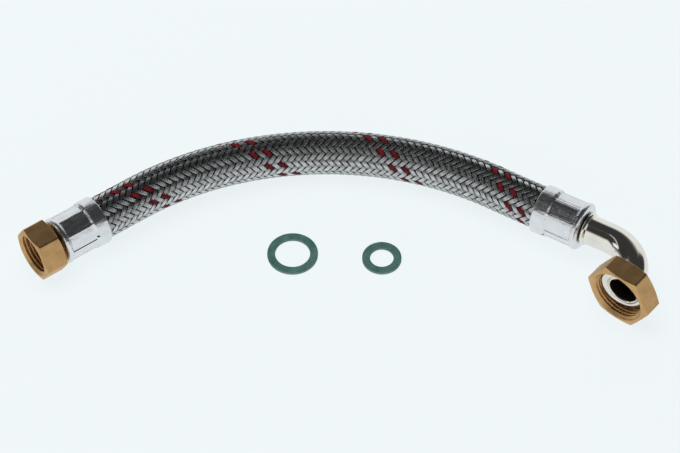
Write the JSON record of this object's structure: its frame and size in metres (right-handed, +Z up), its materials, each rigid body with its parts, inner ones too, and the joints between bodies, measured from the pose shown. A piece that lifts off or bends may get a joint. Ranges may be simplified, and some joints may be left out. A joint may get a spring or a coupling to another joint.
{
  "type": "flexible connector hose",
  "caption": "Wire-braided flexible connector hose with a straight end and an elbow end, crimped ferrules, loose hexagon union nuts and flat gaskets beside it.",
  "frame": {"origin": "on the ground under the middle of the bounding box of the hose as it lies", "axes": "+X along the chord of the arch, from the straight end to the elbow end; +Y the way the arch bulges; +Z up"},
  "size_m": [0.2984, 0.1118, 0.03],
  "materials": {
    "tube_rubber": "matt black rubber",
    "braid_wire": "fine bright wire, woven",
    "ferrule_metal": "bright pressed metal",
    "brass": "plain turned brass, satin",
    "nickel_plate": "bright nickel plate",
    "gasket_fibre": "pressed fibre sheet, matt"
  },
  "bodies": {
    "hose": {"inner_tube": "tube_rubber", "wire_braid": "braid_wire", "ferrule_straight": "ferrule_metal", "ferrule_elbow": "ferrule_metal", "tail_straight": "brass", "tail_elbow": "nickel_plate", "gasket_half_inch": "gasket_fibre", "gasket_three_quarter": "gasket_fibre"},
    "half_inch_nut": {"nut_half_inch": "brass"},
    "three_quarter_nut": {"nut_three_quarter": "brass"}
  },
  "joints": [
    {"name": "half_inch_nut_swivel", "type": "hinge", "parent": "hose", "child": "half_inch_nut", "pos_m": [-0.13553, -0.0141, 0.012], "axis": [-0.807, -0.5906, 0], "continuous": true},
    {"name": "three_quarter_nut_swivel", "type": "hinge", "parent": "hose", "child": "three_quarter_nut", "pos_m": [0.13283, -0.04178, 0.015], "axis": [-0.6428, -0.766, 0], "continuous": true}
  ]
}
